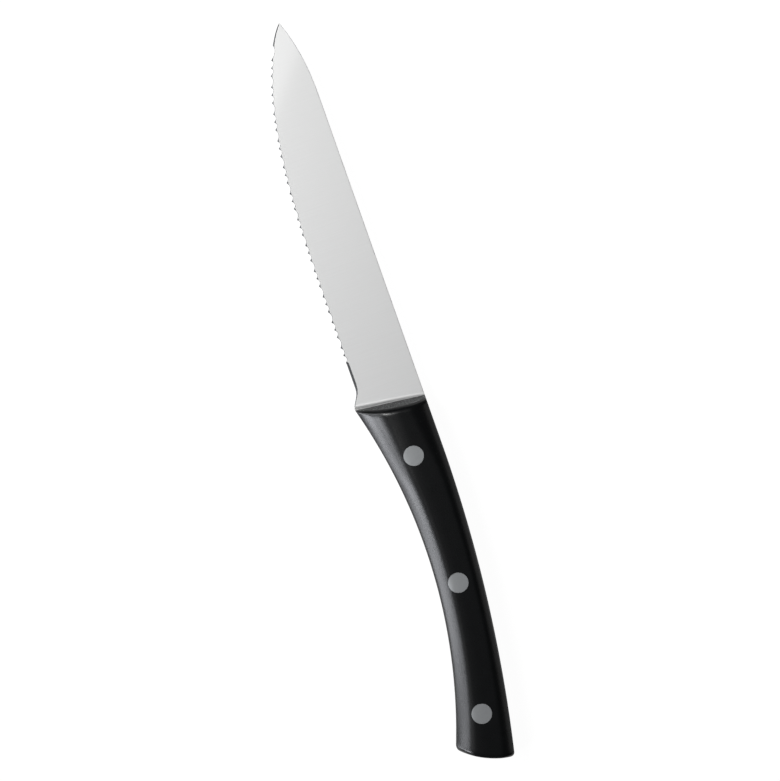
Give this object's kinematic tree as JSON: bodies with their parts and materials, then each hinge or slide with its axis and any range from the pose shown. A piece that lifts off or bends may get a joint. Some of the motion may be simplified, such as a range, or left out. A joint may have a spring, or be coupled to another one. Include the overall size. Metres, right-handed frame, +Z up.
{
  "type": "steak knife",
  "caption": "Serrated steak knife with a full-tang blade between two crowned black handle scales, held by two-piece rivets.",
  "frame": {"origin": "on the flat outer face of the lower handle scale, which the knife lies on, midway between the first two rivets", "axes": "+Y along the straight spine to the tip, +X across the knife to the spine, +Z up through its thickness"},
  "size_m": [0.0266, 0.2329, 0.013],
  "materials": {
    "blade_steel": "satin, ground across the blade",
    "handle_plastic": "satin black, matte front faces",
    "rivet_steel": "satin, ground flush"
  },
  "bodies": {
    "root": {"blade": "blade_steel", "scale_upper": "handle_plastic", "scale_lower": "handle_plastic", "rivet_pin_front": "rivet_steel", "rivet_pin_middle": "rivet_steel", "rivet_pin_rear": "rivet_steel", "rivet_sleeve_front": "rivet_steel", "rivet_sleeve_middle": "rivet_steel", "rivet_sleeve_rear": "rivet_steel"}
  },
  "joints": []
}
